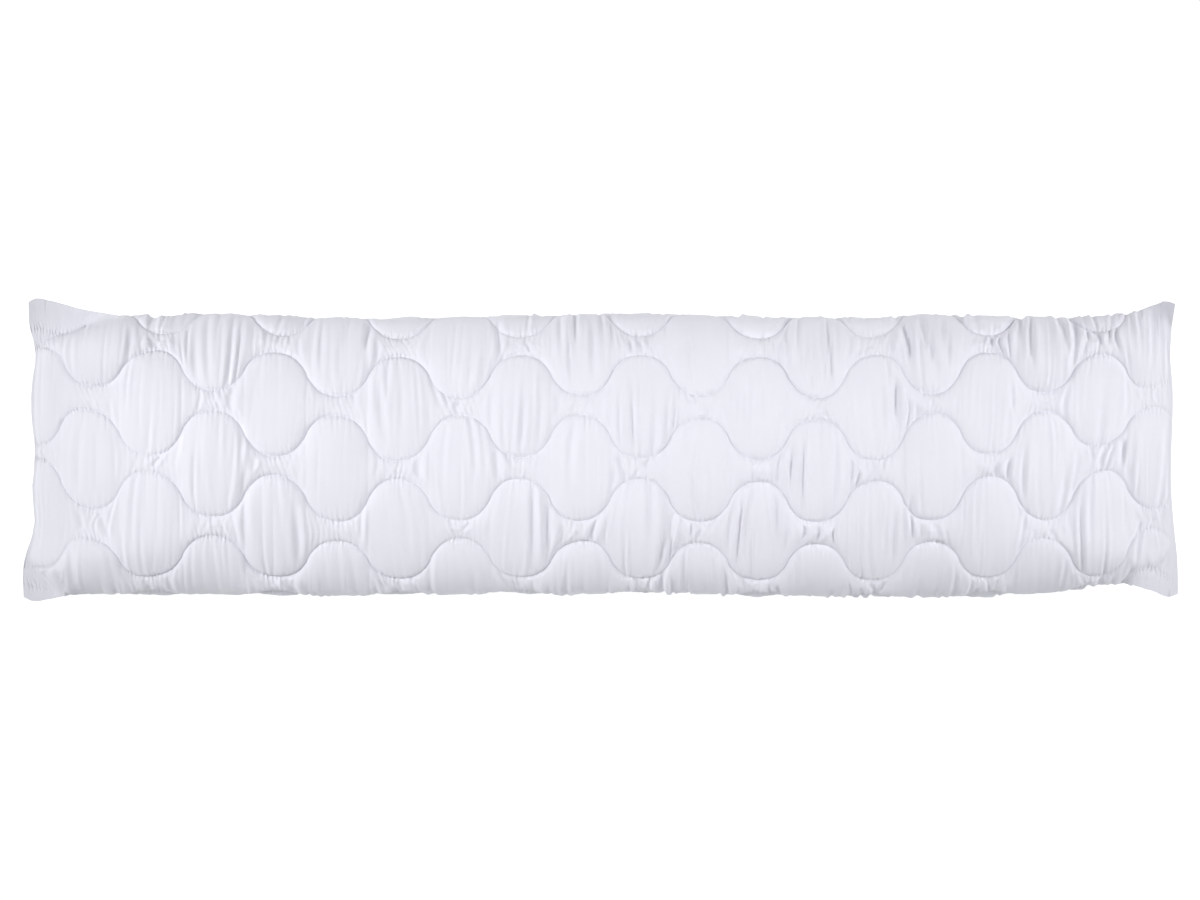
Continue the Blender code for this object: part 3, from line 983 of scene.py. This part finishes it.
def microfibreMaterial():
    material, tree, shader = newMaterial("wovenMicrofibre", microfibre["surface"])
    sheet = addNode(tree, "Attribute", {"attribute_name": "sheet"}).outputs["Vector"]
    seams = addNode(tree, "Attribute", {"attribute_name": "stitching"}).outputs["Vector"]
    parts = addNode(tree, "SeparateXYZ", None, {"Vector": seams})
    distance, along, squareness = (parts.outputs[axis] for axis in ("X", "Y", "Z"))

    uneven = {}
    for name, (size, detail, roughness) in microfibre["uneven"].items():
        uneven[name] = addNode(tree, "TexNoise", None, {
            "Vector": sheet, "Scale": 1 / size, "Detail": detail, "Roughness": roughness})

    # colour: barely uneven, as washed white cloth is
    mix = addNode(tree, "Mix", {"data_type": "RGBA"}, {
        "Factor": uneven["colour"], 6: linear(microfibre["colour"]), 7: linear(microfibre["worn"])})
    tree.links.new(mix.outputs[2], shader.inputs["Base Color"])

    # weave: two crossed sets of threads
    turn = 2 * math.pi / microfibre["threadPitch"]
    sheetParts = addNode(tree, "SeparateXYZ", None, {"Vector": sheet})
    threads = []
    for axis in ("X", "Y"):
        phase = addNode(tree, "Math", {"operation": "MULTIPLY"}, {0: sheetParts.outputs[axis], 1: turn})
        threads.append(addNode(tree, "Math", {"operation": "SINE"}, {0: phase}))
    weave = addNode(tree, "Math", {"operation": "MULTIPLY"}, {0: threads[0], 1: threads[1]})

    # gathers: short ticks across the stitching, uneven in spacing and strength
    shift = addNode(tree, "Math", {"operation": "MULTIPLY_ADD"}, {
        0: uneven["tickShift"], 1: microfibre["tickShift"], 2: along})
    turn = 2 * math.pi / microfibre["tickPitch"]
    phase = addNode(tree, "Math", {"operation": "MULTIPLY"}, {0: shift, 1: turn})
    tick = addNode(tree, "Math", {"operation": "SINE"}, {0: phase})
    fade = addNode(tree, "Math", {"operation": "MULTIPLY"}, {0: distance, 1: -1 / microfibre["tickReach"]})
    nearness = addNode(tree, "Math", {"operation": "EXPONENT"}, {0: fade})
    strength = addNode(tree, "MapRange", {"clamp": True}, {
        "Value": uneven["tickStrength"],
        "From Min": microfibre["tickRange"][0], "From Max": microfibre["tickRange"][1],
        "To Min": microfibre["tickStrengths"][0], "To Max": microfibre["tickStrengths"][1]})
    level = addNode(tree, "Math", {"operation": "POWER"}, {0: squareness, 1: 3.0})
    for factor in (nearness, strength, level):
        tick = addNode(tree, "Math", {"operation": "MULTIPLY"}, {0: tick, 1: factor})

    # crinkles, longer across the rows than along them
    density = 1 / microfibre["crinklePitch"]
    stretched = addNode(tree, "VectorMath", {"operation": "MULTIPLY"}, {
        0: sheet, 1: (density, microfibre["crinkleStretch"] * density, 1.0)})
    crinkle = addNode(tree, "TexNoise", None, {
        "Vector": stretched, "Scale": 1.0, "Detail": 3.0, "Roughness": 0.5,
        "Distortion": microfibre["crinkleDistortion"]})

    total = 0.0
    for height, depth in (
        (weave, "threadDepth"),
        (uneven["nap"], "napDepth"),
        (tick, "tickDepth"),
        (crinkle, "crinkleDepth"),
    ):
        total = addNode(tree, "Math", {"operation": "MULTIPLY_ADD"}, {
            0: height, 1: microfibre[depth], 2: total})
    bump = addNode(tree, "Bump", None, {"Height": total, "Distance": 1.0, "Strength": 1.0})
    tree.links.new(bump.outputs["Normal"], shader.inputs["Normal"])
    return material


addSurfaceValues(coverObject.data, grid)
coverObject.data.materials.append(microfibreMaterial())
report("cover material")

stitching = {
    "pitch": 0.0040,
    "length": 0.0030,
    "halfWidth": 0.00042,
    "rise": 0.00035,          # the thread's arch over the cloth
    "leastHeight": 0.0015,    # none where the pillow lies on the floor
    "skew": 0.10,
    "fromEnd": 0.012,
    "uneven": 0.0003,
    "seed": 300,
}
# share of the stitch's length, width and arch at its five sections
stitchSections = ((-0.5, 0, -0.6), (-0.25, 0.85, 0.6), (0, 1.0, 1.0), (0.25, 0.85, 0.6), (0.5, 0, -0.6))


def stitchMesh(points, normals, grid):
    # small arched lozenges of thread, laid end to end along every row
    vertices, faces = [], []
    shares, widths, arches = np.array(stitchSections).T
    skew = (shares * stitching["length"] * stitching["skew"])[:, None]
    arch = (stitching["rise"] * arches)[:, None]
    rowLines = np.cumsum((0,) + cover["segments"][:-1])
    for row, line in enumerate(rowLines):
        track, upward = points[:, line], normals[:, line]
        length = np.concatenate([[0], np.cumsum(np.linalg.norm(np.diff(track, axis=0), axis=1))])
        rng = np.random.default_rng(stitching["seed"] + row)
        places = np.arange(stitching["fromEnd"], length[-1] - stitching["fromEnd"], stitching["pitch"])
        places = places + rng.uniform(-stitching["uneven"], stitching["uneven"], len(places))
        for middle in places:
            spots = middle + stitching["length"] * shares
            spine = np.stack([np.interp(spots, length, track[:, k]) for k in range(3)], axis=1)
            if spine[2, 2] < stitching["leastHeight"]:
                continue
            up = np.array([np.interp(middle, length, upward[:, k]) for k in range(3)])
            up /= np.linalg.norm(up)
            ahead = spine[4] - spine[0]
            ahead /= np.linalg.norm(ahead)
            sideways = np.cross(up, ahead)
            spine += sideways * skew
            spine += up * arch
            first = len(vertices)
            vertices.append(spine[0])
            for k in (1, 2, 3):
                wide = stitching["halfWidth"] * widths[k]
                vertices += [spine[k] + sideways * wide, spine[k] + up * wide,
                             spine[k] - sideways * wide, spine[k] - up * wide]
            vertices.append(spine[4])
            for k in range(4):
                following = (k + 1) % 4
                faces.append((first, first + 1 + k, first + 1 + following))
                for ring in (1, 5):
                    faces.append((first + ring + k, first + ring + 4 + k,
                                  first + ring + 4 + following, first + ring + following))
                faces.append((first + 13, first + 9 + following, first + 9 + k))
    mesh = bpy.data.meshes.new("quiltingStitches")
    mesh.from_pydata([tuple(v) for v in vertices], [], faces)
    mesh.shade_smooth()
    return mesh


# spun polyester sewing thread, matt and a touch brighter than the cloth that it sinks into
sewingThread = {
    "surface": {"Base Color": linear("#e6e7ee"), "Roughness": 0.7},
    "twistPitch": 0.0009,
    "twistDepth": 0.0001,
    "twistStrength": 0.6,
}


def sewingThreadMaterial():
    material, tree, shader = newMaterial("polyesterThread", sewingThread["surface"])
    place = addNode(tree, "TexCoord").outputs["Object"]
    twist = addNode(tree, "TexNoise", None, {
        "Vector": place, "Scale": 1 / sewingThread["twistPitch"], "Detail": 2.0})
    bump = addNode(tree, "Bump", None, {
        "Height": twist, "Distance": sewingThread["twistDepth"],
        "Strength": sewingThread["twistStrength"]})
    tree.links.new(bump.outputs["Normal"], shader.inputs["Normal"])
    return material


finalNormals = gridNormals(points)
stitchesObject = addObject("quiltingStitches", stitchMesh(points, finalNormals, grid))
stitchesObject.data.materials.append(sewingThreadMaterial())
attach(stitchesObject, "root")
report("stitches with %d faces" % len(stitchesObject.data.polygons))

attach(coverObject, "root")
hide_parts("pillow")

# floor, light and camera
# the backdrop paper glows a little, so that the ground stays white under soft light
backdropPaper = {
    "Base Color": linear("#bcbcbc"),
    "Roughness": 0.9,
    "Emission Color": linear("#ffffff"),
    "Emission Strength": 0.76,
}
edge = 12      # the floor reaches this far each way, in metres
floorMesh = bpy.data.meshes.new("floor")
corners = [(-edge, -edge, 0), (edge, -edge, 0), (edge, edge, 0), (-edge, edge, 0)]
floorMesh.from_pydata(corners, [], [(0, 1, 2, 3)])
floor = addObject("floor", floorMesh)
floorMesh.materials.append(newMaterial("whiteBackdropPaper", backdropPaper)[0])

studio = {"Color": (0.95, 0.96, 1.0, 1), "Strength": 0.28}
world = bpy.context.scene.world or bpy.data.worlds.new("studio")
bpy.context.scene.world = world
world.use_nodes = True
setInputs(world.node_tree.nodes["Background"], studio)

# where each one stands and what it aims at, its size in metres, its watts, and its spread in degrees
softboxes = {
    "leftSoftbox": ((-1.8, 0.14, 1.2), (-0.13, 0.0, 0), 0.7, 2.11, 45),
    "rightSoftbox": ((1.6, 0.14, 0.8), (0.375, 0.0, 0), 0.7, 1.33, 45),
    "topSoftbox": ((0.05, 0.1, 1.6), (0.05, 0.0, 0), 0.5, 3.50, 120),
}
for name, (place, target, size, power, spread) in softboxes.items():
    data = bpy.data.lights.new(name, "AREA")
    data.shape = "RECTANGLE"
    data.size = data.size_y = size
    data.energy = power
    data.spread = math.radians(spread)
    lamp = addObject(name, data)
    lamp.location = place
    lamp.rotation_euler = (Vector(target) - Vector(place)).to_track_quat("-Z", "Y").to_euler()

viewWidth = 1.4844      # what the picture spans at the height of the rim
cameraDistance = 5.0
cameraData = bpy.data.cameras.new("camera")
cameraData.sensor_width = 36
cameraData.lens = cameraData.sensor_width * cameraDistance / viewWidth
camera = addObject("camera", cameraData)
camera.location = (0, 0, cover["rimHeight"] + cameraDistance)
bpy.context.scene.camera = camera
bpy.context.scene.view_settings.view_transform = "Standard"
report("floor, lights and camera")
